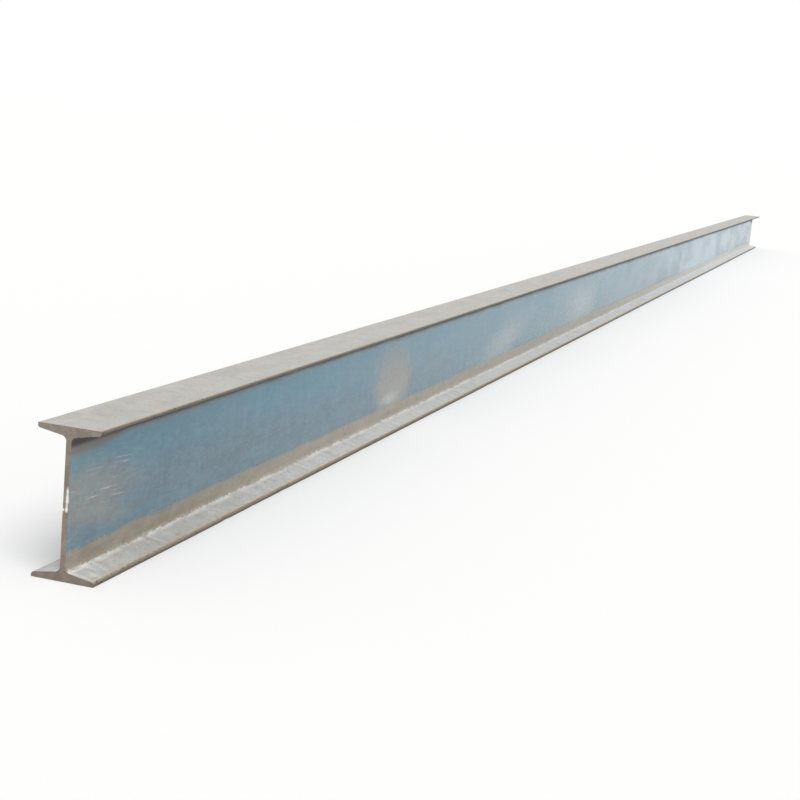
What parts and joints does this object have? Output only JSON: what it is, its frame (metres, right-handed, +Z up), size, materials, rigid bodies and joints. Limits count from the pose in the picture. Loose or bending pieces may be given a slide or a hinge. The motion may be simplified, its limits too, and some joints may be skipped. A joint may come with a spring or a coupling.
{
  "type": "steel i-beam",
  "caption": "Straight hot-rolled steel I-beam with tapered flanges, a thin upright web and flat sawn ends, a structural member that carries load in bending.",
  "frame": {"origin": "on the floor, under the middle of the lower flange, halfway along the beam", "axes": "+X along the beam's length, +Y across the flanges, +Z up the web"},
  "size_m": [12, 0.124, 0.28],
  "materials": {
    "rolled_steel": "hot-rolled, blue-grey mill scale on the web, brown-grey rust bloom on the flanges and sawn ends"
  },
  "bodies": {
    "root": {"i_beam": "rolled_steel"}
  },
  "joints": []
}
